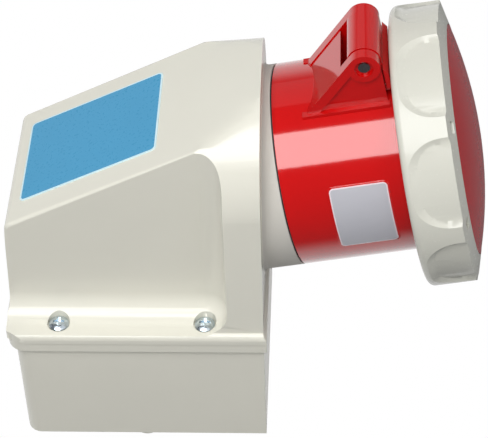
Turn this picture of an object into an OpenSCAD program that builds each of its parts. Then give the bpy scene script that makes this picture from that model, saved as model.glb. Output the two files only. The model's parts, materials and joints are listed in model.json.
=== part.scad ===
// Industrial wall socket, watertight type, with hinged spring lid and bayonet ring.
// The pieces are drawn on the bench: x runs along the box from the cable end to the socket end,
// y across it with 0 at the centre plane, z out of the wall from the back of the box.
// hang() then turns them as the socket hangs on its wall: +Z up, wall at y = 0, front facing -Y.

/* [Box] */
// Length of the box from the cable end to the socket end
base_l = 113; // [108:0.5:120]
// Width of the box across its side walls
base_w = 106; // [104:0.5:112]
// Height of the seam between box and cover
seam_z = 63.5; // [58:0.5:68]
// Wall thickness of the moulded box and cover
wall_t = 3; // [2.4:0.1:3.4]
// How far the flange at the seam stands out at the sides
lip_side = 1.4; // [1:0.1:2]
// How far the flange at the seam stands out at the cable end
lip_end = 3; // [2:0.1:4]
// How far the flange at the seam stands out at the socket end
lip_out = 1.4; // [1:0.1:2]
// Height of the flange band on the box
lip_h = 5.5; // [4:0.5:8]
// Radius of the box corners at the cable end
corner_r = 7; // [5:0.5:9]
// Height of the spacer pads behind the box
pad_h = 2; // [1:0.1:2.5]

/* [Wall fixing] */
// Spacing of the wall screws across the box
fix_w = 76; // [66:1:78]
// Spacing of the wall screws along the box
fix_l = 80; // [72:1:82]
// Radius of the wall screw holes
fix_r = 2.75; // [2.25:0.05:3.25]

/* [Cover] */
// Height of the cover's skirt above the seam
skirt_h = 5.5; // [5:0.5:7]
// Height of the slope's plane at the cable end
slope_z = 119.8; // [114:0.2:124]
// Angle of the sloping face
slope_a = 26.9; // [25:0.1:28]
// Half width of the middle of the cover between its side pockets
panel_y = 37; // [35:0.5:39]
// Where the side pockets end, measured along the box
pocket_x = 97; // [95:0.5:99]
// Radius of the hollow edges of the side pockets
pocket_r = 11; // [9:0.5:12]
// Radius of the upper corners of the arch
arch_r = 46; // [44:0.5:47]
// Height of the top of the arch at the socket end
arch_z = 178; // [174:0.5:182]
// Rise of the arch towards the socket end
arch_rise = 5; // [3:0.5:7]
// Radius of the cover screws' recesses
recess_r = 5.2; // [5:0.1:5.6]
// Distance of the cover screws from the cable end
screw_x = 20.5; // [18:0.5:24]
// Distance of the cover screws from the centre plane
screw_y = 46; // [45:0.1:46.4]
// Height of the underside of the screw heads
screw_z = 66.5; // [66:0.1:67]

/* [Socket] */
// Outer radius of the socket barrel
barrel_r = 45; // [45:0.1:46]
// Inner radius of the socket barrel
barrel_bore_r = 40.75; // [40.5:0.05:41]
// Length of the barrel from the neck to its rim
barrel_l = 66; // [62:0.5:68]
// Tilt of the socket away from the wall
tilt = 11; // [9:0.5:12]
// Where the barrel starts, along the box
socket_x = 125.7; // [124:0.1:127]
// Height of the socket axis there
socket_z = 123.7; // [122:0.1:125]
// Radius of the contact carrier that the plug's shroud slides over
carrier_r = 35.25; // [34.5:0.05:35.5]
// Radius of the circle on which the contacts stand
pitch_r = 19; // [18:0.25:20]
// Bore radius of the line and neutral contacts
line_r = 4.02; // [3.9:0.01:4.2]
// Bore radius of the earth contact
earth_r = 5.02; // [4.9:0.01:5.2]
// Bore radius of the pilot contact
pilot_r = 3.02; // [2.9:0.01:3.1]

/* [Lid] */
// Outer radius of the bayonet ring
ring_r = 62; // [60:0.5:64]
// Where the ring starts along the socket axis
ring_s = 53.2; // [52:0.1:54]
// Length of the ring along the socket axis
ring_l = 23.8; // [23:0.1:25]
// Height of the domed middle of the lid
dome_h = 7; // [5:0.5:9]
// Position of the hinge pin along the socket axis
hinge_s = 43.2; // [42.8:0.1:43.6]
// Distance of the hinge pin from the socket axis
hinge_h = 61.8; // [61:0.1:62.6]
// Radius of the hinge pin
pin_r = 2.5; // [2:0.1:3]
// Width across the hinge ears
ears_w = 36; // [34:0.5:38]
// Thickness of one hinge ear
ear_t = 5; // [4:0.5:6]

/* [Hidden] */
$fn = 96;

cream = [0.88, 0.87, 0.82];
red = [0.85, 0.08, 0.05];
zinc = [0.72, 0.76, 0.80];
brass = [0.80, 0.65, 0.35];
black = [0.12, 0.12, 0.13];
grey = [0.35, 0.36, 0.37];

// Play between pieces that are fitted together
play = 0.15;
// Play on both sides of a fixed pin or screw
fit = 0.05;
// Play between pieces that sit on one another for good
seat = 0.02;
// Length that lets a cut run clear of a face
over = 1;
far = 300;

half_w = base_w / 2;
lip_y = half_w + lip_side;
skirt_y = lip_y + 0.4;
shoulder_z = seam_z + skirt_h - 1;
skirt_r = 3.5;
arch_top_y = 4.5;
arch_y = arch_top_y + arch_r;
arch_base = arch_z - arch_r;

slope_run = tan(slope_a);

entry_z = 31;
entry_r = 20.2;
entry_lip = 2;

screw_xs = [screw_x, pocket_x - pocket_r + 0.5];
box_post_r = 5;
cover_post_r = recess_r + 2.2;
shank_r = 2;
screw_l = 20;
head_r = 4.5;
head_h = 3;

gasket_w = 2;
gasket_h = 1.5;
gasket_y = half_w - gasket_w;

neck_seal = 0.7;
neck_in = 26;
spigot_r = barrel_bore_r + 0.65;
flange_s = -9;
flange_t = 4;
flange_r = 36;
collar_t = 4;
barrel_screw_as = [45 : 90 : 315];
barrel_screw_r = 38.7;
carrier_screw_as = [0 : 120 : 240];
carrier_screw_r = 38.4;
clamp_as = [0, 144, 216];
clamp_r = 27;
clamp_in = 16;
insert_s = flange_s + flange_t;
carrier_l = 61;
face_t = 3;
pin_play = 0.6;
shell_t = 3;
insert_skirt = 4;
post_r = 5.6;
tower_t = 1.6;
contact_front = insert_s + carrier_l - face_t;
terminal_r = 32;
terminal_s = -38;
terminal_in = 16;
terminal_screw_l = 9;
clamp_head = 5;
contact_wall = 2.2;
sleeve_l = 42;

lug_w = 18;
lug_pitch = 120;
lug_turn = 30;
lug_t = 3.6;
barrel_lug_r = barrel_r + 3.9;
barrel_lug_s = barrel_l - 5.2;
ring_lug_r = barrel_r + 2.3;
ring_lug_s = ring_s + 1.6;

// Walls of the ring: at its side, at its open back and round the lid's dome
ring_side_t = 6.6;
ring_back_t = 8.6;
ring_front_t = 11;
ring_back_l = 4;
ring_edge_r = 3;
rim_slope = 2.8;
cap_r = ring_r - ring_side_t - 0.4;
rim_r = ring_r - ring_front_t;
cap_t = 3.4;
cap_s = ring_s + ring_l - 7;
// Scallops of the ring
dent_n = 8;
dent_at = 20.2;
dent = 1.9;
dent_a = 20.6;
dent_r = 15;
dent_soft = 3.6;
dent_band = 3;
notch_as = [42.7, 87.7, 222.7, 267.7];

boss_r = 6.8;
boss_hole_r = 4;
boss_hole_t = 1.6;
ear_dent = 1.2;
ear_foot = 14;
ear_band = 4.2;
web_s = 33;
web_t = 3;
knuckle_r = 7.2;
knuckle_w = ears_w - 2 * ear_t - 0.8;
arm_w = 26;
arm_back_w = 32;
arm_r1 = barrel_r + 1.6;
arm_r2 = arm_r1 + 3.6;

spring_w = 10;
spring_r = 4.6;
wire_r = 0.8;
spring_turns = 5;

// Turns a piece from the bench to its place on the wall
module hang() {
    translate([0, 0, base_l / 2]) rotate([0, 90, -90]) translate([0, 0, pad_h]) children();
}

// Local frame of the socket: z along its axis, -x away from the wall
module on_socket(s = 0) {
    translate([socket_x, 0, socket_z]) rotate([0, 90 - tilt, 0]) translate([0, 0, s]) children();
}

// Turns about the socket axis, 0 at the side away from the wall, growing towards -y
module around(a) {
    rotate([0, 0, 180 + a]) children();
}

module tube(r2, r1, h) {
    difference() {
        cylinder(r = r2, h = h);
        translate([0, 0, -over]) cylinder(r = r1, h = h + 2 * over);
    }
}

// Pie slice about the z axis, w degrees wide, centred on the x axis
module slice(r, w, h) {
    linear_extrude(h) polygon([[0, 0], for (k = [-2 : 2]) 1.1 * r * [cos(k * w / 4), sin(k * w / 4)]]);
}

// Plan of the box or cover, rounded at the cable end, nearly sharp at the socket end
module plan(x1, x2, y, r) {
    union() {
        translate([x1 + r, -y]) square([x2 - x1 - r, 2 * y]);
        translate([x1, -y + r]) square([2 * r, 2 * (y - r)]);
        for (side = [-1, 1]) translate([x1 + r, side * (y - r)]) circle(r = r);
    }
}

// Back box
module back_box() {
    color(cream) hang() difference() {
        union() {
            linear_extrude(seam_z) plan(0, base_l, half_w, corner_r);
            translate([0, 0, seam_z - lip_h])
                linear_extrude(lip_h) plan(-lip_end, base_l + lip_out, lip_y, corner_r + lip_side);
            for (x = [-1, 1], y = [-1, 1])
                translate([base_l / 2 + x * fix_l / 2, y * fix_w / 2, -pad_h])
                    cylinder(r = 7, h = pad_h + over);
            for (y = [-1, 1])
                translate([base_l / 2, y * (half_w - 7), -pad_h]) cylinder(r = 6, h = pad_h + over);
        }
        difference() {
            translate([0, 0, wall_t])
                linear_extrude(seam_z) plan(wall_t, base_l - wall_t, half_w - wall_t, corner_r - wall_t);
            for (x = screw_xs, y = [-1, 1]) translate([x, y * screw_y, 0]) {
                cylinder(r = box_post_r, h = seam_z);
                translate([-box_post_r, y > 0 ? 0 : -box_post_r, 0])
                    cube([2 * box_post_r, box_post_r, seam_z]);
            }
            for (x = [-1, 1], y = [-1, 1])
                translate([base_l / 2 + x * fix_l / 2, y * fix_w / 2, 0]) cylinder(r = 6, h = wall_t + 4);
            for (y = [-1, 1])
                translate([base_l / 2 - 8, y * 14 - 3, 0]) cube([16, 6, 6 - play]);
            translate([base_l / 2, 0, 0]) cylinder(r = 5, h = 6 - play);
        }
        for (x = screw_xs, y = [-1, 1])
            translate([x, y * screw_y, seam_z - screw_l - 4]) cylinder(r = shank_r, h = far);
        for (x = [-1, 1], y = [-1, 1])
            translate([base_l / 2 + x * fix_l / 2, y * fix_w / 2, -pad_h - over])
                cylinder(r = fix_r, h = far);
        translate([-over, 0, entry_z]) rotate([0, 90, 0]) cylinder(r = entry_r, h = wall_t + 2 * over);
        translate([base_l / 2, 0, -over]) translate([0, 0, wall_t + over]) cylinder(r = 1.7, h = 10);
    }
}

// Soft seal that closes the cable entry, cut open when the cable is drawn in
module entry_seal() {
    color(grey) hang() translate([0, 0, entry_z]) rotate([0, 90, 0]) difference() {
        union() {
            translate([0, 0, 0.6]) cylinder(r = entry_r - 0.05, h = wall_t);
            translate([0, 0, wall_t + 0.1]) cylinder(r = entry_r + entry_lip, h = entry_lip);
        }
        translate([0, 0, wall_t - 0.6]) cylinder(r = entry_r - 4, h = 5);
        for (r = [6, 11]) translate([0, 0, -0.2]) tube(r + 0.8, r, 1.2);
    }
}

// Earth clamp on the floor of the box
module earth_terminal() {
    color(brass) hang() translate([base_l / 2 - 7, -5, 6]) difference() {
        cube([14, 10, 8]);
        translate([-over, 5, 4]) rotate([0, 90, 0]) cylinder(r = 2.2, h = 20);
        translate([7, 5, 3]) cylinder(r = 1.6, h = 10);
    }
}

// Outer form of the cover, or the form of its hollow where g is the wall
module cover_form(g) {
    difference() {
        intersection() {
            union() {
                hood_block(g);
                skirt_block(g);
            }
            // Seen from the side: the raked cable end, the slope and the flat socket end
            translate([0, far / 2, 0]) rotate([90, 0, 0]) linear_extrude(far) side_outline(g);
        }
        for (side = [0, 1]) mirror([0, side, 0]) pocket(g);
    }
}

module side_outline(g) {
    x2 = base_l - g;
    lift = g / cos(slope_a);
    r = max(5 - g, 1);
    x1 = g;
    rake = 2;
    zc = slope_z - lift + slope_run * (x1 + r) - r / cos(slope_a);
    polygon(concat(
        [[x2 + lip_out, seam_z - over], [x2 + lip_out, shoulder_z - 2 - g], [x2, shoulder_z - g],
         [x2, slope_z - lift + slope_run * x2]],
        [for (a = [90 + slope_a : 12 : 180]) [x1 + r + r * cos(a), zc + r * sin(a)]],
        [[x1 - rake, shoulder_z + 4 - g], [x1 - lip_end, shoulder_z + 2 - g],
         [x1 - lip_end, seam_z - over]]));
}

module hood_block(g) {
    r = arch_r - g;
    translate([base_l, 0, 0]) rotate([0, -arch_rise, 0]) translate([-far, 0, 0]) rotate([90, 0, 90])
        linear_extrude(far + 40) union() {
            for (y = [-1, 1]) translate([y * arch_top_y, arch_base]) circle(r = r);
            translate([-arch_top_y, arch_base]) square([2 * arch_top_y, r]);
            polygon([[-arch_y + g, arch_base], [-half_w + g, seam_z - 20],
                     [half_w - g, seam_z - 20], [arch_y - g, arch_base]]);
        }
}

module skirt_block(g) {
    y = g > 0 ? gasket_y - 1 : skirt_y;
    x1 = g > 0 ? wall_t + 2 : -lip_end;
    x2 = g > 0 ? base_l - g : base_l + lip_out;
    intersection() {
        translate([0, 0, seam_z - over])
            linear_extrude(skirt_h + over) plan(x1, x2, y, corner_r + lip_side - g);
        translate([-far / 2, 0, 0]) rotate([90, 0, 90]) linear_extrude(2 * far) union() {
            for (m = [-1, 1]) translate([m * (y - skirt_r), seam_z + skirt_h - skirt_r]) circle(r = skirt_r);
            translate([-y + skirt_r, seam_z - over]) square([2 * (y - skirt_r), skirt_h + over]);
            translate([-y, seam_z - over]) square([2 * y, skirt_h - skirt_r + over]);
        }
    }
}

// Side pocket: a corner of space with round hollow edges, open at the cable end and the top
module pocket(g) {
    r = pocket_r + g;
    x1 = pocket_x + g;
    y1 = panel_y - g;
    z1 = shoulder_z - g;
    translate([x1 - r - far, y1 + r, z1]) cube([far, far, far]);
    translate([x1 - r - far, y1, z1 + r]) cube([far, far, far]);
    translate([x1 - far, y1 + r, z1 + r]) cube([far, far, far]);
    translate([x1 - r, y1 + r, z1 + r]) cylinder(r = r, h = far);
    translate([x1 - r - far, y1 + r, z1 + r]) rotate([0, 90, 0]) cylinder(r = r, h = far);
    translate([x1 - r, y1 + r, z1 + r]) rotate([-90, 0, 0]) cylinder(r = r, h = far);
    translate([x1 - r, y1 + r, z1 + r]) sphere(r = r);
}

// Front cover with its neck
module front_cover() {
    color(cream) hang() difference() {
        union() {
            difference() {
                cover_form(0);
                difference() {
                    cover_form(wall_t);
                    for (x = screw_xs, y = [-1, 1])
                        translate([x, y * screw_y, 0]) cylinder(r = cover_post_r, h = shoulder_z + 12);
                }
                translate([-far / 2, -far / 2, seam_z - far]) cube(far);
                // groove for the gasket
                translate([0, 0, seam_z - over]) linear_extrude(gasket_h + over + 0.05) gasket_ring(0.05);
            }
            intersection() {
                on_socket(-neck_in) cylinder(r = barrel_r, h = neck_in - neck_seal);
                beyond(pocket_x + wall_t + 2);
            }
        }
        intersection() {
            union() {
                on_socket(-neck_in - 20) cylinder(r = flange_r, h = far);
                on_socket(-neck_in - 20)
                    cylinder(r = spigot_r + play, h = neck_in + 20 + flange_s - collar_t);
                on_socket(flange_s) cylinder(r = spigot_r + play, h = far);
                on_socket(flange_s - collar_t - over) {
                    for (a = barrel_screw_as) around(a)
                        translate([barrel_screw_r, 0, 0]) cylinder(r = 2.1, h = 10, $fn = 32);
                    for (a = carrier_screw_as) around(a)
                        translate([carrier_screw_r, 0, 0]) cylinder(r = 3.6, h = 10, $fn = 32);
                }
            }
            beyond(pocket_x + wall_t + 1);
        }
        for (x = screw_xs, y = [-1, 1]) translate([x, y * screw_y, 0]) {
            translate([0, 0, screw_z]) cylinder(r = recess_r, h = far, $fn = 48);
            cylinder(r = shank_r + 0.3, h = far, $fn = 32);
        }
    }
}

// Half of space past x along the box
module beyond(x) {
    translate([x, -far / 2, -over]) cube(far);
}

module gasket_ring(g) {
    difference() {
        plan(2 - g - 1, base_l - 1 + g, gasket_y + gasket_w + g, corner_r);
        plan(2 + gasket_w + g - 1, base_l - 1 - gasket_w - g, gasket_y - g, corner_r - gasket_w);
    }
}

module cover_gasket() {
    color(black) hang() translate([0, 0, seam_z]) linear_extrude(gasket_h) gasket_ring(0);
}

// Pan-head screw with a cross recess, head's underside at z = 0, shank downwards
module pan_screw(r_head, h_head, r_shank, l_shank) {
    difference() {
        union() {
            intersection() {
                cylinder(r = r_head, h = h_head, $fn = 48);
                translate([0, 0, h_head - 1.6 * r_head]) sphere(r = 1.6 * r_head, $fn = 64);
            }
            translate([0, 0, -l_shank]) cylinder(r = r_shank, h = l_shank + 0.5, $fn = 32);
        }
        for (a = [0, 90]) rotate([0, 0, a])
            translate([-0.55 * r_head, -0.14 * r_head, 0.4 * h_head])
                cube([1.1 * r_head, 0.28 * r_head, h_head]);
    }
}

module cover_screws() {
    color(zinc) hang() for (x = screw_xs, y = [-1, 1])
        translate([x, y * screw_y, screw_z]) pan_screw(head_r, head_h, shank_r - fit, screw_l);
}

// Seal between neck and barrel
module neck_gasket() {
    color(black) hang() on_socket(-neck_seal) tube(barrel_r - 0.8, spigot_r + play, neck_seal);
}

// Lug on the barrel or in the ring, between two radii
module lug(r1, r2, w, h) {
    intersection() {
        tube(r2, r1, h);
        slice(r2, w, h);
    }
}

// Socket barrel with spigot and flange
module socket_barrel() {
    color(red) hang() on_socket() difference() {
        union() {
            difference() {
                union() {
                    cylinder(r = barrel_r, h = barrel_l);
                    translate([0, 0, flange_s]) cylinder(r = spigot_r, h = over - flange_s);
                }
                translate([0, 0, insert_s]) cylinder(r = barrel_bore_r, h = far);
            }
            // key rib that the plug's keyway slides over
            around(180) translate([barrel_bore_r - 3, -2.2, insert_s]) cube([3.5, 4.4, barrel_l - 1]);
        }
        translate([0, 0, flange_s - over]) cylinder(r = flange_r, h = flange_t + 2 * over);
        for (a = barrel_screw_as) around(a)
            translate([barrel_screw_r, 0, flange_s - over])
                cylinder(r = 1.75, h = flange_t + 2 * over, $fn = 32);
        for (a = carrier_screw_as) around(a)
            translate([carrier_screw_r, 0, flange_s - over])
                cylinder(r = 1.75, h = flange_t + 2 * over, $fn = 32);
    }
}

// Three bayonet lugs on the barrel
module barrel_lugs() {
    color(red) hang() on_socket(barrel_lug_s) for (a = [lug_turn : lug_pitch : 359])
        around(a) lug(barrel_r + seat, barrel_lug_r, lug_w, lug_t);
}

// Hinge bracket that sits on the barrel
module hinge_bracket() {
    color(red) hang() on_socket() difference() {
        ears();
        cylinder(r = barrel_r + seat, h = far);
        translate([-hinge_h, -far / 2, hinge_s]) rotate([-90, 0, 0])
            cylinder(r = pin_r + 0.02, h = far, $fn = 48);
        for (side = [0, 1]) mirror([0, side, 0])
            translate([-hinge_h, ears_w / 2 - boss_hole_t, hinge_s]) rotate([-90, 0, 0])
                cylinder(r = boss_hole_r, h = 10, $fn = 48);
    }
}

// Two ears with foot ribs, and the sloping web between them
module ears() {
    foot = barrel_r - 4;
    rib_h = sqrt(barrel_r * barrel_r - ears_w * ears_w / 4);
    for (side = [0, 1]) mirror([0, side, 0]) {
        translate([0, -ears_w / 2 + ear_t, 0]) rotate([90, 0, 0]) {
            linear_extrude(ear_t - ear_dent) ear_outline(foot);
            linear_extrude(ear_t) intersection() {
                ear_outline(foot);
                union() {
                    slope_band(foot, 0, ear_band, hinge_s);
                    translate([-hinge_h, hinge_s]) circle(r = boss_r, $fn = 64);
                }
            }
        }
        // rib along the foot of the ear
        translate([-rib_h - 1.1, -ears_w / 2 - 1.4, ear_foot - 0.8])
            cube([4, 3, ring_s - 2.3 - ear_foot + 0.8]);
    }
    translate([0, ears_w / 2 - ear_t + 0.5, 0]) rotate([90, 0, 0]) linear_extrude(ears_w - 2 * ear_t + 1)
        slope_band(foot, 0.5, 0.5 + web_t, web_s);
}

// Angle of the ears' sloping edge, from their foot to a tangent of the boss
function ear_a(foot) = let (run = hinge_s - ear_foot, rise = hinge_h - foot)
    atan2(rise, run) + asin(boss_r / norm([run, rise]));

module ear_outline(foot) {
    a = ear_a(foot);
    union() {
        translate([-hinge_h, hinge_s]) circle(r = boss_r, $fn = 64);
        polygon([[-foot, ear_foot], [-hinge_h - boss_r * cos(a), hinge_s - boss_r * sin(a)],
                 [-hinge_h, hinge_s], [-hinge_h, hinge_s + boss_r], [-foot, hinge_s + boss_r]]);
    }
}

// Band under the sloping edge, between the depths t1 and t2 and as far as s along the socket axis
module slope_band(foot, t1, t2, s) {
    a = ear_a(foot);
    s1 = ear_foot + t1 / sin(a);
    s2 = ear_foot + t2 / sin(a);
    polygon([[-foot, s1], [-foot - (s - s1) * tan(a), s], [-foot - (s - s2) * tan(a), s], [-foot, s2]]);
}

module barrel_screws() {
    color(zinc) hang() on_socket(flange_s - collar_t) for (a = barrel_screw_as)
        around(a) translate([barrel_screw_r, 0, 0]) rotate([180, 0, 0])
            pan_screw(2.6, 2, 1.7, collar_t + flange_t - 0.4);
}

// Face of the insert: sectors in two rings, which meet at the holes for the plug's pins
module insert_face() {
    color(black) hang() on_socket(contact_front) difference() {
        union() {
            tube(carrier_r, pitch_r + seat, face_t);
            tube(pitch_r - seat, pilot_r + pin_play, face_t);
        }
        for (i = [0 : 4]) around(contact_a(i)) {
            translate([pitch_r, 0, -over])
                cylinder(r = contact_ir(i) + pin_play, h = face_t + 2 * over, $fn = 48);
            translate([0, -seat, -over]) cube([far, 2 * seat, face_t + 2 * over]);
        }
    }
}

// Shell of the insert, with posts for the long screws
module contact_carrier() {
    color(black) hang() on_socket(insert_s) difference() {
        union() {
            tube(carrier_r, carrier_r - shell_t, carrier_l - face_t);
            for (a = clamp_as) around(a)
                translate([clamp_r, 0, 0]) cylinder(r = post_r, h = clamp_in + 8, $fn = 48);
        }
        for (a = clamp_as) around(a)
            translate([clamp_r, 0, -over]) cylinder(r = 1.75, h = clamp_in + 4, $fn = 32);
    }
}

// Flange of the insert, screwed on the barrel's flange, with the keyway
module insert_flange() {
    color(black) hang() on_socket(insert_s) difference() {
        tube(barrel_bore_r - play, carrier_r + seat, insert_skirt);
        for (a = carrier_screw_as) around(a)
            translate([carrier_screw_r, 0, -over])
                cylinder(r = 1.4, h = insert_skirt - 0.4 + over, $fn = 32);
        around(180) translate([barrel_bore_r - 3.3, -2.5, -over]) cube([6, 5, far]);
    }
}

// Towers round the contacts, between the rear insert and the face
module contact_towers() {
    color(black) hang() on_socket(insert_s) {
        for (i = [0 : 4]) around(contact_a(i)) translate([pitch_r, 0, 0]) tower(contact_or(i));
        tower(pilot_r + contact_wall);
    }
}

module tower(r) {
    tube(r + play + tower_t, r + play, carrier_l - face_t);
}

function contact_a(i) = 180 + 72 * i;
function contact_ir(i) = i == 0 ? earth_r : line_r;
function contact_or(i) = contact_ir(i) + contact_wall;

// Rear insert that holds the clamps of the contacts
module terminal_carrier() {
    l = insert_s - terminal_s;
    color(grey) hang() on_socket(terminal_s) difference() {
        union() {
            cylinder(r = terminal_r, h = l);
            translate([0, 0, l - 9]) cylinder(r = flange_r - 0.3, h = 9);
        }
        for (i = [0 : 4]) around(contact_a(i)) {
            translate([pitch_r, 0, 6]) cylinder(r = contact_or(i) + play, h = far, $fn = 48);
            translate([pitch_r, 0, -over]) cylinder(r = 4.6, h = far, $fn = 48);
            translate([pitch_r, 0, terminal_in]) rotate([0, 90, 0])
                cylinder(r = 3.2, h = 40, $fn = 32);
        }
        translate([0, 0, 12]) cylinder(r = pilot_r + contact_wall + play, h = far, $fn = 48);
        translate([0, 0, -over]) cylinder(r = 2.2, h = far, $fn = 32);
        for (a = clamp_as) around(a) {
            translate([clamp_r, 0, -over]) cylinder(r = 2.1, h = far, $fn = 32);
            translate([clamp_r, 0, -over]) cylinder(r = 4, h = clamp_head + over, $fn = 32);
        }
    }
}

// Contact tube i: a slit sleeve for the plug's pin, with a clamp hole for the wire behind
module contact(i) {
    r2 = contact_or(i);
    r1 = contact_ir(i);
    front = contact_front;
    back = terminal_s + terminal_in - 10;
    color(brass) hang() on_socket(back) around(contact_a(i)) translate([pitch_r, 0, 0]) difference() {
        cylinder(r = r2, h = front - back, $fn = 64);
        translate([0, 0, front - back - sleeve_l]) cylinder(r = r1, h = far, $fn = 64);
        translate([0, 0, -over]) cylinder(r = 3.6, h = 18 + over, $fn = 48);
        translate([0, 0, 10]) rotate([0, 90, 0]) cylinder(r = 2.5, h = 20, $fn = 32);
    }
}

module contact_pe() { contact(0); }
module contact_l1() { contact(1); }
module contact_l2() { contact(2); }
module contact_l3() { contact(3); }
module contact_n() { contact(4); }

module pilot_contact() {
    front = contact_front;
    back = terminal_s + 12;
    color(brass) hang() on_socket(back) difference() {
        cylinder(r = pilot_r + contact_wall, h = front - back, $fn = 48);
        translate([0, 0, front - back - sleeve_l + 6]) cylinder(r = pilot_r, h = far, $fn = 48);
        translate([0, 0, -over]) cylinder(r = 1.6, h = 10 + over, $fn = 32);
    }
}

// Clamp screws of the five main contacts, turned from the side
module terminal_screws() {
    color(zinc) hang() on_socket(terminal_s + terminal_in) for (i = [0 : 4])
        around(contact_a(i)) translate([pitch_r + 1.6, 0, 0]) rotate([0, 90, 0]) difference() {
            cylinder(r = 2.45, h = terminal_screw_l, $fn = 32);
            translate([-3, -0.5, terminal_screw_l - 1.4]) cube([6, 1, 2]);
        }
}

// Screws that hold the front insert on the barrel's flange
module carrier_screws() {
    color(zinc) hang() on_socket(flange_s) for (a = carrier_screw_as)
        around(a) translate([carrier_screw_r, 0, 0]) rotate([180, 0, 0])
            pan_screw(2.4, 1.8, 1.35, flange_t + insert_skirt - 0.8);
}

// Long screws that hold the rear insert on the front one
module clamp_screws() {
    color(zinc) hang() on_socket(terminal_s + clamp_head) for (a = clamp_as)
        around(a) translate([clamp_r, 0, 0]) rotate([180, 0, 0])
            pan_screw(3.6, 2.6, 1.7, insert_s - terminal_s - clamp_head + clamp_in);
}

// Places a piece at the hinge pin, z along the pin
module on_hinge() {
    hang() on_socket(hinge_s) translate([-hinge_h, 0, 0]) rotate([-90, 0, 0]) children();
}

module hinge_pin() {
    l = ears_w - 2 * boss_hole_t + 1.2;
    color(zinc) on_hinge() translate([0, 0, -l / 2]) cylinder(r = pin_r, h = l, $fn = 48);
}

// Closing spring in the middle of the knuckle
module hinge_spring() {
    pitch = 2 * wire_r + 0.2;
    color(zinc) on_hinge() {
        for (k = [0 : spring_turns - 1]) translate([0, 0, (k - (spring_turns - 1) / 2) * pitch])
            rotate_extrude($fn = 64) translate([spring_r - wire_r, 0]) circle(r = wire_r - 0.01, $fn = 16);
    }
}

// Domed lid with its arm and the hinge knuckle
module lid_cap() {
    rim_s = ring_s + ring_l;
    plug_r = rim_r - 0.4;
    dome_r = (plug_r * plug_r + dome_h * dome_h) / (2 * dome_h);
    color(red) hang() on_socket() difference() {
        union() {
            translate([0, 0, cap_s]) cylinder(r = cap_r, h = cap_t);
            translate([0, 0, cap_s + over]) cylinder(r = plug_r, h = rim_s - cap_s - over);
            intersection() {
                translate([0, 0, rim_s - 0.5]) cylinder(r = plug_r, h = dome_h + 2);
                translate([0, 0, rim_s + dome_h - dome_r]) sphere(r = dome_r, $fn = 128);
            }
            // arm over the barrel, through the ring's open back
            intersection() {
                translate([0, 0, hinge_s + 1]) tube(arm_r2, arm_r1, cap_s - hinge_s);
                translate([-2 * arm_r2, -arm_w / 2, 0]) cube([2 * arm_r2, arm_w, far]);
            }
            knuckle();
        }
        translate([-hinge_h, -far / 2, hinge_s]) rotate([-90, 0, 0])
            cylinder(r = pin_r + 0.07, h = far, $fn = 48);
        translate([-hinge_h, -spring_w / 2, hinge_s]) rotate([-90, 0, 0])
            cylinder(r = spring_r + 0.4, h = spring_w, $fn = 48);
    }
}

// Knuckle round the pin, and the block behind the ring that joins it to the arm
module knuckle() {
    back = ring_s - 0.7;
    front = hinge_s + boss_r + 0.6;
    translate([-hinge_h, -knuckle_w / 2, hinge_s]) rotate([-90, 0, 0])
        cylinder(r = knuckle_r, h = knuckle_w, $fn = 64);
    translate([0, knuckle_w / 2, 0]) rotate([90, 0, 0]) linear_extrude(knuckle_w)
        polygon([[-hinge_h - 1.5, hinge_s + knuckle_r - 1], [-hinge_h + 3, front + 0.2],
                 [-arm_r1 - 0.6, back], [-arm_r1 - 0.6, hinge_s + 1], [-hinge_h, hinge_s]]);
    translate([0, arm_back_w / 2, 0]) rotate([90, 0, 0]) linear_extrude(arm_back_w)
        polygon([[-hinge_h + 3, front], [-hinge_h + 6, back], [-arm_r1 - 1.6, back],
                 [-arm_r1 - 1.6, front]]);
    translate([0, arm_w / 2, 0]) rotate([90, 0, 0]) linear_extrude(arm_w)
        polygon([[-arm_r2, back - 1], [-arm_r2, ring_s + 3], [-arm_r1 - 0.6, ring_s + 3],
                 [-arm_r1 - 0.6, back - 1]]);
}

module lid_gasket() {
    color(black) hang() on_socket(barrel_l + 0.3)
        tube(barrel_r + 0.6, barrel_bore_r - 1, cap_s - barrel_l - 0.3);
}

// Three lugs in the ring's open back
module ring_lugs() {
    color(cream) hang() on_socket(ring_lug_s) for (a = [2 * lug_turn : lug_pitch : 359])
        around(a) lug(ring_lug_r, ring_r - ring_back_t - seat, lug_w, lug_t);
}

// Bayonet ring: open at the back, rim in front that holds the lid
module bayonet_ring() {
    color(cream) hang() on_socket(ring_s) difference() {
        union() {
            difference() {
                ring_blank();
                translate([0, 0, -over]) cylinder(r = ring_r - ring_back_t, h = far);
                translate([0, 0, ring_back_l])
                    cylinder(r = cap_r + 0.4, h = cap_s + cap_t + 0.2 - ring_s - ring_back_l);
            }
            translate([0, 0, cap_s - ring_s + cap_t + 0.2]) intersection() {
                tube(ring_r - 1, rim_r, far);
                translate([0, 0, -cap_s + ring_s - cap_t - 0.2]) ring_blank();
            }
        }
        for (k = [0 : dent_n - 1]) around(dent_at + k * 360 / dent_n) scallop();
        // notches in the rim
        for (a = notch_as) around(a) translate([rim_r + 2, -2.5, ring_l - 3]) cube([4, 5, 10]);
    }
}

// Outside of the ring, solid: round edge at the back, flat cone in front
module ring_blank() {
    rotate_extrude() union() {
        translate([0, ring_edge_r]) square([ring_r, ring_l - rim_slope - ring_edge_r]);
        square([ring_r - ring_edge_r, ring_edge_r + 1]);
        intersection() {
            translate([ring_r - ring_edge_r, ring_edge_r]) circle(r = ring_edge_r);
            square([ring_r + 1, ring_l]);
        }
        polygon([[0, ring_edge_r], [ring_r, ring_l - rim_slope - 1], [ring_r, ring_l - rim_slope],
                 [rim_r, ring_l], [0, ring_l]]);
    }
}

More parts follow.
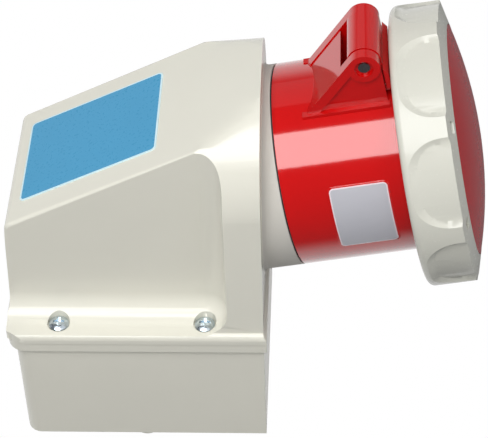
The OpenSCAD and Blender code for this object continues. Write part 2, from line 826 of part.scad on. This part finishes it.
// One scallop, centred on the x axis: sloping borders, round corners at the back, open to the front
module scallop() {
    floor_r = ring_r - dent;
    slant = dent_soft / dent;
    low_r = floor_r - 3;
    top_r = ring_r + 2;
    low_soft = dent_r - dent_soft - 3 * slant;
    top_soft = dent_r + 2 * slant;
    mid_a = dent_a - dent_r / ring_r * 180 / PI;
    difference() {
        union() {
            for (m = [-1, 1]) rotate([0, 0, m * mid_a]) translate([0, 0, dent_band + dent_r]) {
                translate([low_r, 0, 0]) rotate([0, 90, 0])
                    cylinder(r1 = low_soft, r2 = top_soft, h = top_r - low_r);
                linear_extrude(far)
                    polygon([[low_r, m * low_soft], [top_r, m * top_soft], [top_r, -m * 4],
                             [low_r, -m * 4]]);
            }
            difference() {
                translate([0, 0, dent_band - 2 * slant]) slice(top_r, 2 * mid_a, far);
                translate([0, 0, dent_band - 2 * slant - over])
                    cylinder(r1 = top_r + over / slant, r2 = floor_r, h = dent_soft + 2 * slant + over);
            }
        }
        translate([0, 0, -far / 2]) cylinder(r = floor_r, h = 2 * far);
    }
}

back_box();
front_cover();
cover_gasket();
cover_screws();
entry_seal();
earth_terminal();
neck_gasket();
socket_barrel();
barrel_lugs();
hinge_bracket();
barrel_screws();
insert_face();
contact_carrier();
insert_flange();
contact_towers();
terminal_carrier();
carrier_screws();
clamp_screws();
contact_l1();
contact_l2();
contact_l3();
contact_n();
contact_pe();
pilot_contact();
terminal_screws();
hinge_pin();
hinge_spring();
lid_cap();
lid_gasket();
bayonet_ring();
ring_lugs();
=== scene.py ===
"""Industrial wall socket: moulded edges, plates, finishes, soft studio light and the camera."""
import json
import math
import bpy
import bmesh
from mathutils import Matrix, Vector

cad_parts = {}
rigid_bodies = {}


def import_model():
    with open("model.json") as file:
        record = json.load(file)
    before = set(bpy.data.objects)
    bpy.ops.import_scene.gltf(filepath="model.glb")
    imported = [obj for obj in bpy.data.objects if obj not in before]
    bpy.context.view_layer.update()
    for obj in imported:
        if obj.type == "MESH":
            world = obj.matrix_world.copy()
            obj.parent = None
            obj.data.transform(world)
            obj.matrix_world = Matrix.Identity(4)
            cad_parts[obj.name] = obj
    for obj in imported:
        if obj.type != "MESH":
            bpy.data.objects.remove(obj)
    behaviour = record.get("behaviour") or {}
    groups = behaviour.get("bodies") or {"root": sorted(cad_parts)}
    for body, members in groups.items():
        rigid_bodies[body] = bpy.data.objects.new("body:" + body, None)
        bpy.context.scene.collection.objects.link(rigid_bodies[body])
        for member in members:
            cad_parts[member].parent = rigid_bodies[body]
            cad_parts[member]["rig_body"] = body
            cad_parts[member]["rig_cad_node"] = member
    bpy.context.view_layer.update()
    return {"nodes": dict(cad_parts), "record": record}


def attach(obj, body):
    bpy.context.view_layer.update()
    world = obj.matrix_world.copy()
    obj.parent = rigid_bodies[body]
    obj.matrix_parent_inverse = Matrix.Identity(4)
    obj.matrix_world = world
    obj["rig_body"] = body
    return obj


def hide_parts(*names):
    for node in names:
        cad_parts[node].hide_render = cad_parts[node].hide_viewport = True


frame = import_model()

MM = 0.001

# Driving sizes of the housing, in millimetres, as in the part's own drawing
BASE_L = 113.0
PAD_H = 2.0
TILT = math.radians(11.0)
SOCKET_X = 125.7
SOCKET_Z = 123.7
SLOPE_Z = 119.8
SLOPE_A = math.radians(26.9)
BARREL_R = 45.0
DOME_S = 71.0

# Where the white backdrop begins, as the cosine from the camera's own direction
BACKDROP_FROM = 0.2
BACKDROP_TO = 0.6


def bench(x, y, z):
    """Point of the bench drawing, in millimetres, as it hangs on the wall, in metres."""
    return Vector((y, -(z + PAD_H), BASE_L / 2 - x)) * MM


def along(x, y, z):
    """Direction of the bench drawing as it hangs on the wall."""
    return Vector((y, -z, -x))


def on_bench(point):
    """Point of the hanging socket, in metres, back in the millimetres of the bench drawing."""
    return Vector((BASE_L / 2 - point.z / MM, point.x / MM, -point.y / MM - PAD_H))


AXIS = along(math.cos(TILT), 0, math.sin(TILT))
OUT = along(-math.sin(TILT), 0, math.cos(TILT))
SIDE = along(0, -1, 0)
SOCKET_AT = bench(SOCKET_X, 0, SOCKET_Z)


def on_socket(s, r, angle):
    """Point at s along the socket axis and r from it; angle in degrees from the near side towards the front."""
    a = math.radians(angle)
    return SOCKET_AT + (AXIS * s + (SIDE * math.cos(a) + OUT * math.sin(a)) * r) * MM


# Camera, as the photograph was taken
CAMERA_AT = Vector((-0.63659, -0.70707, -0.08701))
CAMERA_FORWARD = Vector((0.71790, 0.69465, 0.04565))
CAMERA_RIGHT = Vector((0.03539, 0.02908, -0.99895))
CAMERA_LENS = 142.75


def make_camera():
    data = bpy.data.cameras.new("camera")
    data.sensor_width = 36.0
    data.lens = CAMERA_LENS
    camera = bpy.data.objects.new("camera", data)
    bpy.context.scene.collection.objects.link(camera)
    back = -CAMERA_FORWARD.normalized()
    right = (CAMERA_RIGHT - back * CAMERA_RIGHT.dot(back)).normalized()
    up = back.cross(right)
    turn = Matrix((right, up, back)).transposed().to_4x4()
    camera.matrix_world = Matrix.Translation(CAMERA_AT) @ turn
    bpy.context.scene.camera = camera
    return right, up, back


camera_right, camera_up, camera_back = make_camera()
bpy.context.scene.view_settings.view_transform = "Standard"


# Nodes of a material, by short calls
def new_material(name):
    material = bpy.data.materials.new(name)
    material.use_nodes = True
    nodes = material.node_tree.nodes
    shader = nodes["Principled BSDF"]
    return material, nodes, material.node_tree.links, shader


def object_coords(nodes, links, scale):
    coords = nodes.new("ShaderNodeTexCoord")
    mapping = nodes.new("ShaderNodeMapping")
    mapping.inputs["Scale"].default_value = scale
    links.new(coords.outputs["Object"], mapping.inputs["Vector"])
    return mapping.outputs["Vector"]


def noise(nodes, links, vector, scale, detail=3.0, roughness=0.5):
    texture = nodes.new("ShaderNodeTexNoise")
    texture.inputs["Scale"].default_value = scale
    texture.inputs["Detail"].default_value = detail
    texture.inputs["Roughness"].default_value = roughness
    links.new(vector, texture.inputs["Vector"])
    return texture.outputs["Fac"]


def ramp(nodes, links, fac, stops):
    node = nodes.new("ShaderNodeValToRGB")
    elements = node.color_ramp.elements
    while len(elements) < len(stops):
        elements.new(0.5)
    for element, (place, colour) in zip(elements, stops):
        element.position = place
        element.color = colour if len(colour) == 4 else (*colour, 1)
    links.new(fac, node.inputs["Fac"])
    return node.outputs["Color"]


def bump(nodes, links, height, strength, distance):
    node = nodes.new("ShaderNodeBump")
    node.inputs["Strength"].default_value = strength
    node.inputs["Distance"].default_value = distance
    links.new(height, node.inputs["Height"])
    return node.outputs["Normal"]


def moulded_plastic(name, colour, vary, gloss, coat=0.0, grain=0.05, level=0.5):
    """Injection-moulded plastic: faint flow clouds in the colour, fine grain, gloss that varies a little."""
    material, nodes, links, shader = new_material(name)
    vector = object_coords(nodes, links, (1, 1, 1))
    clouds = noise(nodes, links, vector, 24.0, 4.0)
    low = tuple(c * (1 - vary) for c in colour)
    high = tuple(min(c * (1 + vary), 1) for c in colour)
    links.new(ramp(nodes, links, clouds, [(0.3, low), (0.7, high)]), shader.inputs["Base Color"])
    fine = noise(nodes, links, vector, 900.0, 2.0)
    shade = ramp(nodes, links, fine, [(0.3, (gloss * 0.85,) * 3), (0.7, (gloss * 1.15,) * 3)])
    links.new(shade, shader.inputs["Roughness"])
    links.new(bump(nodes, links, fine, grain, 0.0001), shader.inputs["Normal"])
    shader.inputs["Coat Weight"].default_value = coat
    shader.inputs["Coat Roughness"].default_value = gloss * 0.6
    shader.inputs["Specular IOR Level"].default_value = level
    return material


def metal(name, colour, roughness, scratch=0.3):
    """Plated or turned metal with fine brushing."""
    material, nodes, links, shader = new_material(name)
    vector = object_coords(nodes, links, (1, 1, 1))
    fine = noise(nodes, links, vector, 1400.0, 3.0)
    low = tuple(c * 0.86 for c in colour)
    links.new(ramp(nodes, links, fine, [(0.3, low), (0.7, colour)]), shader.inputs["Base Color"])
    shade = ramp(nodes, links, fine, [(0.3, (roughness * 0.8,) * 3), (0.7, (roughness * 1.3,) * 3)])
    links.new(shade, shader.inputs["Roughness"])
    links.new(bump(nodes, links, fine, scratch, 0.00005), shader.inputs["Normal"])
    shader.inputs["Metallic"].default_value = 1.0
    return material


CREAM = moulded_plastic("cream_plastic", (0.75, 0.735, 0.645), 0.012, 0.22, coat=0.0, level=0.45)
# Neck finish: matt, and darker than the cream, which is painted shade on the neck beside the arch.
NECK_PAINTED_SHADE = moulded_plastic("cream_matt_painted_shade", (0.60, 0.58, 0.53), 0.02, 0.55, grain=0.1, level=0.2)
RING_CREAM = moulded_plastic("ring_cream", (0.65, 0.645, 0.57), 0.012, 0.24, level=0.4)
# Dome finish: low gloss, and darker than the red plastic, which is painted shade on the dome.
DOME_RED_PAINTED_SHADE = moulded_plastic("dome_red_painted_shade", (0.46, 0.003, 0.008), 0.03, 0.22, level=0.12)
RED = moulded_plastic("red_plastic", (0.58, 0.003, 0.003), 0.03, 0.10, coat=0.45, level=0.45)
BLACK = moulded_plastic("black_plastic", (0.03, 0.03, 0.033), 0.1, 0.35)
GREY = moulded_plastic("grey_plastic", (0.22, 0.23, 0.24), 0.05, 0.4)
RUBBER = moulded_plastic("black_rubber", (0.02, 0.02, 0.022), 0.1, 0.65, grain=0.2)
GREY_RUBBER = moulded_plastic("grey_rubber", (0.2, 0.21, 0.22), 0.06, 0.6, grain=0.2)
ZINC = metal("zinc_plate", (0.66, 0.74, 0.80), 0.22)
# Pin steel: darkened and tinted faintly red, which is painted shade and painted red reflection of the pin's recess
# in the red hinge.
STEEL_PAINTED_SHADE = metal("steel_painted_shade", (0.30, 0.27, 0.27), 0.2)
BRASS = metal("turned_brass", (0.82, 0.63, 0.30), 0.25)

FINISH = {
    "cream_plastic": CREAM,
    "red_plastic": RED,
    "black_plastic": BLACK,
    "grey_plastic": GREY,
    "black_rubber": RUBBER,
    "grey_rubber": GREY_RUBBER,
    "zinc_screw": ZINC,
    "steel_pin": STEEL_PAINTED_SHADE,
    "brass": BRASS,
}


def paint(piece, material):
    piece.data.materials.clear()
    piece.data.materials.append(material)
    return piece


def finish_nodes():
    """Every carried-over node gets the finish of its material slot."""
    slots = {row["node"]: row["material_slot"] for row in frame["record"]["subparts"]}
    for name, piece in frame["nodes"].items():
        paint(piece, FINISH[slots[name]])


finish_nodes()


def select_only(piece):
    bpy.ops.object.select_all(action="DESELECT")
    piece.select_set(True)
    bpy.context.view_layer.objects.active = piece


def edit(piece, kind="EDGE"):
    """Edit mode on one piece with nothing selected; returns its mesh."""
    select_only(piece)
    bpy.ops.object.mode_set(mode="EDIT")
    bpy.ops.mesh.select_mode(type=kind)
    bpy.ops.mesh.select_all(action="DESELECT")
    return bmesh.from_edit_mesh(piece.data)


def leave(piece):
    bmesh.update_edit_mesh(piece.data)
    bpy.ops.object.mode_set(mode="OBJECT")


def soften(piece, test, width, segments=4, angle=20, clamp=False, hollow=False):
    """Rounds the edges whose middle, in bench millimetres, passes the test: outer ones, or hollow ones."""
    mesh = edit(piece)
    for edge in mesh.edges:
        turn = edge.calc_face_angle_signed(0) if len(edge.link_faces) == 2 else 0
        if (-turn if hollow else turn) > math.radians(angle):
            edge.select_set(test(on_bench((edge.verts[0].co + edge.verts[1].co) / 2)))
    bmesh.update_edit_mesh(piece.data)
    bpy.ops.mesh.bevel(offset=width * MM, segments=segments, affect="EDGES", clamp_overlap=clamp)
    leave(piece)


def moulded_copy(node, name, width, body, angle=28, segments=3, flat=0.6, first=None, last=None,
                 keep=lambda p: True):
    """Copy of a node with its seams closed and its edges rounded as a mould leaves them."""
    source = frame["nodes"][node]
    piece = source.copy()
    piece.data = source.data.copy()
    piece.name = name
    piece.parent = None
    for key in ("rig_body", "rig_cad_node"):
        if key in piece:
            del piece[key]
    bpy.context.scene.collection.objects.link(piece)
    piece.matrix_world = Matrix.Identity(4)
    select_only(piece)
    bpy.ops.object.mode_set(mode="EDIT")
    bpy.ops.mesh.select_all(action="SELECT")
    bpy.ops.mesh.remove_doubles(threshold=0.00001)
    bpy.ops.mesh.dissolve_degenerate(threshold=0.00001)
    bpy.ops.mesh.dissolve_limited(angle_limit=math.radians(flat))
    bpy.ops.object.mode_set(mode="OBJECT")
    if first:
        first(piece)
    soften(piece, keep, width, segments, angle, clamp=True)
    if last:
        last(piece)
    select_only(piece)
    bpy.ops.object.shade_smooth_by_angle(angle=math.radians(32))
    piece.modifiers.new("flats", "WEIGHTED_NORMAL").keep_sharp = True
    bpy.ops.object.modifier_apply(modifier="flats")
    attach(piece, body)
    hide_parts(node)
    return piece


# Hood of the front cover
SLOPE_RUN = math.tan(SLOPE_A)
PANEL_Y = 37.0
ARCH_R = 46.0
ARCH_TOP_Y = 4.5
ARCH_Z = 178.0
ARCH_RISE = math.tan(math.radians(5.0))


def slope_height(x):
    return SLOPE_Z + x * SLOPE_RUN


def arch_height(x, y):
    """Height of the arch at a place, or 0 beside it."""
    out = max(abs(y) - ARCH_TOP_Y, 0)
    if out >= ARCH_R:
        return 0
    top = ARCH_Z - ARCH_R + math.sqrt(ARCH_R ** 2 - out ** 2)
    return top / math.cos(math.radians(5.0)) - (BASE_L - x) * ARCH_RISE


def round_panel(piece):
    """The skirt's corners and the long pocket edges, both outer, and the hollow foot of the neck."""
    def skirt_corner(p):
        return p.x < -2.8 and abs(abs(p.y) - 52.1) < 0.2 and 65 < p.z < 67
    def long_edge(p):
        return abs(abs(p.y) - PANEL_Y) < 0.2 and p.z > slope_height(p.x) - 6 and p.x < 82
    def neck_foot(p):
        return abs(p.x - BASE_L) < 0.3 and p.z > 75
    soften(piece, skirt_corner, 2.1, 5, angle=50)
    soften(piece, long_edge, 1.8, 5)
    soften(piece, neck_foot, 2.5, 5, hollow=True)


def near_arch_line(p, reach):
    """Whether a place lies near the line where the sloping face meets the arch."""
    return abs(p.y) < PANEL_Y + 0.3 and abs(arch_height(p.x, p.y) - slope_height(p.x)) < reach \
        and p.z > slope_height(p.x) - reach


def blend_arch(piece):
    """Cuts the sloping face and the arch into a fine net and smooths the line where they meet."""
    for axis, first, last, step in (("x", 62, 112, 2.5), ("y", -36, 36, 2.4)):
        place = first
        while place < last:
            mesh = edit(piece, "FACE")
            for face in mesh.faces:
                middle = on_bench(face.calc_center_median())
                normal = face.normal
                if -normal.y > 0.3 and middle.z > slope_height(middle.x) - 12 and middle.z > 130:
                    face.select_set(True)
            bmesh.update_edit_mesh(piece.data)
            if axis == "x":
                bpy.ops.mesh.bisect(plane_co=bench(place, 0, 0), plane_no=along(1, 0, 0))
            else:
                bpy.ops.mesh.bisect(plane_co=bench(0, place, 0), plane_no=along(0, 1, 0))
            leave(piece)
            place += step
    mesh = edit(piece, "VERT")
    for vert in mesh.verts:
        p = on_bench(vert.co)
        if near_arch_line(p, 8.0) and abs(p.y) < PANEL_Y - 2.0 and p.x < BASE_L - 1.5:
            vert.select_set(True)
    bmesh.update_edit_mesh(piece.data)
    bpy.ops.mesh.vertices_smooth(factor=0.5, repeat=24)
    leave(piece)


def matt_neck_painted_shade(piece):
    """The neck between the arch and the barrel keeps a matt face, in a darker cream that is painted shade."""
    mesh = edit(piece, "FACE")
    for face in mesh.faces:
        centre = face.calc_center_median() - SOCKET_AT
        reach = (centre - AXIS * centre.dot(AXIS)).length / MM
        face.select_set(40 < reach < BARREL_R + 1 and on_bench(face.calc_center_median()).x > BASE_L + 0.5)
    bmesh.update_edit_mesh(piece.data)
    piece.data.materials.append(NECK_PAINTED_SHADE)
    piece.active_material_index = 1
    bpy.ops.object.material_slot_assign()
    leave(piece)


def matt_dome_painted_shade(piece):
    """The dome of the lid has a matt face in a darker red, which is painted shade; its arm and knuckle are glossy.
    """
    mesh = edit(piece, "FACE")
    for face in mesh.faces:
        face.select_set((face.calc_center_median() - SOCKET_AT).dot(AXIS) > DOME_S * MM)
    bmesh.update_edit_mesh(piece.data)
    piece.data.materials.append(DOME_RED_PAINTED_SHADE)
    piece.active_material_index = 1
    bpy.ops.object.material_slot_assign()
    leave(piece)


hood = moulded_copy("front_cover", "hood_cover", 0.9, "housing", first=round_panel, last=blend_arch,
             keep=lambda p: not near_arch_line(p, 0.4) or abs(p.y) > PANEL_Y - 0.2)
matt_neck_painted_shade(hood)
moulded_copy("back_box", "rear_box", 0.6, "housing")
moulded_copy("socket_barrel", "red_barrel", 0.4, "housing")
moulded_copy("hinge_bracket", "red_bracket", 0.5, "housing", segments=2)
dome = moulded_copy("lid_cap", "red_lid", 0.5, "lid")
matt_dome_painted_shade(dome)
grip = moulded_copy("bayonet_ring", "grip_ring", 0.45, "ring", segments=2)
paint(grip, RING_CREAM)


# Label on the slope and rating plate on the barrel, both bare
def place_in_mesh(piece):
    """Puts a new piece's place and size into its mesh."""
    select_only(piece)
    bpy.ops.object.transform_apply(location=True, rotation=True, scale=True)


def select_faces(mesh, test):
    for face in mesh.faces:
        face.select_set(test(face))


LABEL_BLUE = moulded_plastic("label_blue", (0.066, 0.335, 0.57), 0.015, 0.3, grain=0.005)
LABEL_EDGE = moulded_plastic("label_pale_edge", (0.66, 0.85, 0.9), 0.01, 0.3, grain=0.02)
PLATE_SILVER = moulded_plastic("plate_silver", (0.52, 0.52, 0.56), 0.03, 0.35, grain=0.02)
PLATE_EDGE = moulded_plastic("plate_pale_edge", (0.85, 0.72, 0.76), 0.01, 0.3, grain=0.02)


def make_slope_label():
    """Thin blue label with round corners and a pale edge, on the sloping face."""
    run = math.cos(SLOPE_A)
    start, end, side_1, side_2, thick = 6.9, 76.4, -25.0, 26.8, 0.3
    middle_x = (start + end) / 2 * run
    out = Vector((-math.sin(SLOPE_A), 0, math.cos(SLOPE_A)))
    lift = thick / 2 + 0.02
    centre = Vector((middle_x, (side_1 + side_2) / 2, slope_height(middle_x))) + out * lift
    bpy.ops.mesh.primitive_cube_add(size=1)
    label = bpy.context.active_object
    label.name = "slope_label"
    up_slope = along(math.cos(SLOPE_A), 0, math.sin(SLOPE_A))
    across = along(0, 1, 0)
    off = along(*out)
    turn = Matrix((up_slope, across, off)).transposed().to_4x4()
    size = Matrix.Diagonal(((end - start) * MM, (side_2 - side_1) * MM, thick * MM, 1))
    label.matrix_world = Matrix.Translation(bench(*centre)) @ turn @ size
    place_in_mesh(label)
    mesh = edit(label)
    for edge in mesh.edges:
        edge.select_set(abs((edge.verts[0].co - edge.verts[1].co).normalized().dot(off)) > 0.9)
    bmesh.update_edit_mesh(label.data)
    bpy.ops.mesh.bevel(offset=2.6 * MM, segments=6, affect="EDGES")
    bpy.ops.mesh.select_mode(type="FACE")
    bpy.ops.mesh.select_all(action="DESELECT")
    mesh = bmesh.from_edit_mesh(label.data)
    select_faces(mesh, lambda face: face.normal.dot(off) > 0.9)
    bmesh.update_edit_mesh(label.data)
    bpy.ops.mesh.inset(thickness=0.08 * MM, depth=0.05 * MM)
    bpy.ops.mesh.inset(thickness=0.75 * MM)
    paint(label, LABEL_EDGE)
    label.data.materials.append(LABEL_BLUE)
    label.active_material_index = 1
    bpy.ops.object.material_slot_assign()
    leave(label)
    select_only(label)
    bpy.ops.object.shade_smooth_by_angle(angle=math.radians(32))
    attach(label, "housing")


def barrel_patch(name, s_1, s_2, angle_1, angle_2, r_low, r_high, corner):
    """Piece of shell on the barrel between two places along it and two angles, with round corners."""
    bpy.ops.mesh.primitive_cylinder_add(vertices=240, radius=r_low * MM, depth=0.12, end_fill_type="NOTHING")
    patch = bpy.context.active_object
    patch.name = name
    turn = Matrix((SIDE, OUT, SIDE.cross(OUT))).transposed().to_4x4()
    patch.matrix_world = Matrix.Translation(on_socket(40, 0, 0)) @ turn
    place_in_mesh(patch)
    middle = (angle_1 + angle_2) / 2
    cuts = [(on_socket(s_1, 0, 0), -AXIS), (on_socket(s_2, 0, 0), AXIS)]

    def round_way(angle):
        a = math.radians(angle)
        return -SIDE * math.sin(a) + OUT * math.cos(a)
    cuts += [(on_socket(0, r_low, angle_1), -round_way(angle_1)), (on_socket(0, r_low, angle_2), round_way(angle_2))]
    step = math.degrees(corner / r_low)
    for s_end, way, s_in in ((s_1, -1, s_1 + corner), (s_2, 1, s_2 - corner)):
        for a_in, turn_way in ((angle_1 + step, -1), (angle_2 - step, 1)):
            for k in (22.5, 45, 67.5):
                k = math.radians(k)
                normal = AXIS * way * math.cos(k) + round_way(a_in) * turn_way * math.sin(k)
                at = on_socket(s_in, r_low, a_in) + normal * corner * MM
                cuts.append((at, normal))
    for at, normal in cuts:
        edit(patch)
        bpy.ops.mesh.select_all(action="SELECT")
        bpy.ops.mesh.bisect(plane_co=at, plane_no=normal, clear_outer=True)
        if normal is cuts[0][1]:
            bpy.ops.mesh.select_all(action="SELECT")
            bpy.ops.mesh.bisect(plane_co=on_socket(0, 0, middle), plane_no=on_socket(0, 1, middle) - on_socket(0, 0, middle),
                                clear_inner=True)
        leave(patch)
    edit(patch)
    bpy.ops.mesh.select_all(action="SELECT")
    bpy.ops.mesh.normals_make_consistent(inside=False)
    leave(patch)
    return patch


def thicken(piece, thickness):
    """Gives a sheet its thickness, outwards, and a fine bevel round its rim."""
    wall = piece.modifiers.new("wall", "SOLIDIFY")
    wall.thickness = thickness * MM
    wall.offset = 1
    select_only(piece)
    bpy.ops.object.modifier_apply(modifier="wall")
    soften(piece, lambda p: True, thickness * 0.3, 2, angle=60, clamp=True)
    select_only(piece)
    bpy.ops.object.shade_smooth_by_angle(angle=math.radians(40))


def make_rating_plate():
    """Bare silver plate with a pale edge, in a low red frame on the barrel."""
    frame_piece = barrel_patch("plate_frame", 19.2, 45.8, -17.0, 26.0, BARREL_R - 0.2, BARREL_R + 1, 2.6)
    paint(frame_piece, RED)
    thicken(frame_piece, 0.45)
    plate = barrel_patch("rating_plate", 20.0, 45.0, -16.0, 25.0, BARREL_R, BARREL_R + 1, 2.0)
    edit(plate, "FACE")
    bpy.ops.mesh.select_all(action="SELECT")
    bpy.ops.mesh.inset(thickness=0.55 * MM)
    paint(plate, PLATE_EDGE)
    plate.data.materials.append(PLATE_SILVER)
    plate.active_material_index = 1
    bpy.ops.object.material_slot_assign()
    leave(plate)
    thicken(plate, 0.5)
    for piece in (frame_piece, plate):
        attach(piece, "housing")


# Floor, light and background
def make_floor():
    bpy.ops.mesh.primitive_plane_add(size=4.0, location=(0, 0, -0.42))
    floor = bpy.context.active_object
    floor.name = "floor"
    material, nodes, links, shader = new_material("floor_white")
    shader.inputs["Base Color"].default_value = (0.85, 0.85, 0.85, 1)
    shader.inputs["Roughness"].default_value = 0.9
    paint(floor, material)


def soft_box(name, direction, distance, width, height, strength):
    """Area lamp facing the socket from a direction given in the camera's right, up and back."""
    centre = Vector((0, -0.1, -0.05))
    towards = (camera_right * direction[0] + camera_up * direction[1] + camera_back * direction[2]).normalized()
    data = bpy.data.lights.new(name, "AREA")
    data.shape = "RECTANGLE"
    data.size = width
    data.size_y = height
    data.energy = strength * width * height * math.pi
    lamp = bpy.data.objects.new(name, data)
    bpy.context.scene.collection.objects.link(lamp)
    side = camera_right - towards * camera_right.dot(towards)
    side.normalize()
    up = towards.cross(side)
    turn = Matrix((side, up, towards)).transposed().to_4x4()
    lamp.matrix_world = Matrix.Translation(centre + towards * distance) @ turn
    return lamp


def make_world(front, shown):
    """Studio: a white backdrop behind the socket, dim towards the camera; the camera sees plain white."""
    world = bpy.data.worlds.new("studio")
    bpy.context.scene.world = world
    world.use_nodes = True
    nodes, links = world.node_tree.nodes, world.node_tree.links
    nodes.clear()

    def level(operation, first, second):
        node = nodes.new("ShaderNodeMath")
        node.operation = operation
        links.new(first, node.inputs[0])
        links.new(second, node.inputs[1])
        return node.outputs[0]

    coords = nodes.new("ShaderNodeTexCoord")
    facing = nodes.new("ShaderNodeVectorMath")
    facing.operation = "DOT_PRODUCT"
    facing.inputs[1].default_value = CAMERA_FORWARD
    links.new(coords.outputs["Generated"], facing.inputs[0])
    behind = nodes.new("ShaderNodeMapRange")
    behind.interpolation_type = "SMOOTHSTEP"
    behind.inputs["From Min"].default_value = BACKDROP_FROM
    behind.inputs["From Max"].default_value = BACKDROP_TO
    links.new(facing.outputs["Value"], behind.inputs["Value"])
    path = nodes.new("ShaderNodeLightPath")
    mirrored = level("MULTIPLY", path.outputs["Is Glossy Ray"], behind.outputs["Result"])
    straight = level("MAXIMUM", path.outputs["Is Camera Ray"], path.outputs["Is Transmission Ray"])
    seen = level("MAXIMUM", straight, mirrored)
    dim = nodes.new("ShaderNodeBackground")
    dim.inputs["Color"].default_value = (0.93, 0.95, 1.0, 1)
    dim.inputs["Strength"].default_value = front
    bright = nodes.new("ShaderNodeBackground")
    bright.inputs["Color"].default_value = (1, 1, 1, 1)
    bright.inputs["Strength"].default_value = shown
    mix = nodes.new("ShaderNodeMixShader")
    links.new(seen, mix.inputs[0])
    links.new(dim.outputs[0], mix.inputs[1])
    links.new(bright.outputs[0], mix.inputs[2])
    output = nodes.new("ShaderNodeOutputWorld")
    links.new(mix.outputs[0], output.inputs["Surface"])


make_slope_label()
make_rating_plate()
make_floor()
make_world(0.155, 1.0)
soft_box("key_box", (-0.27, 0.20, 0.97), 1.6, 0.98, 1.10, 6.9)
soft_box("top_box", (-0.2, 1.0, 0.1), 1.4, 0.9, 0.9, 0.3)
soft_box("left_box", (-1.0, 0.1, 0.1), 1.4, 0.9, 0.9, 0.8)
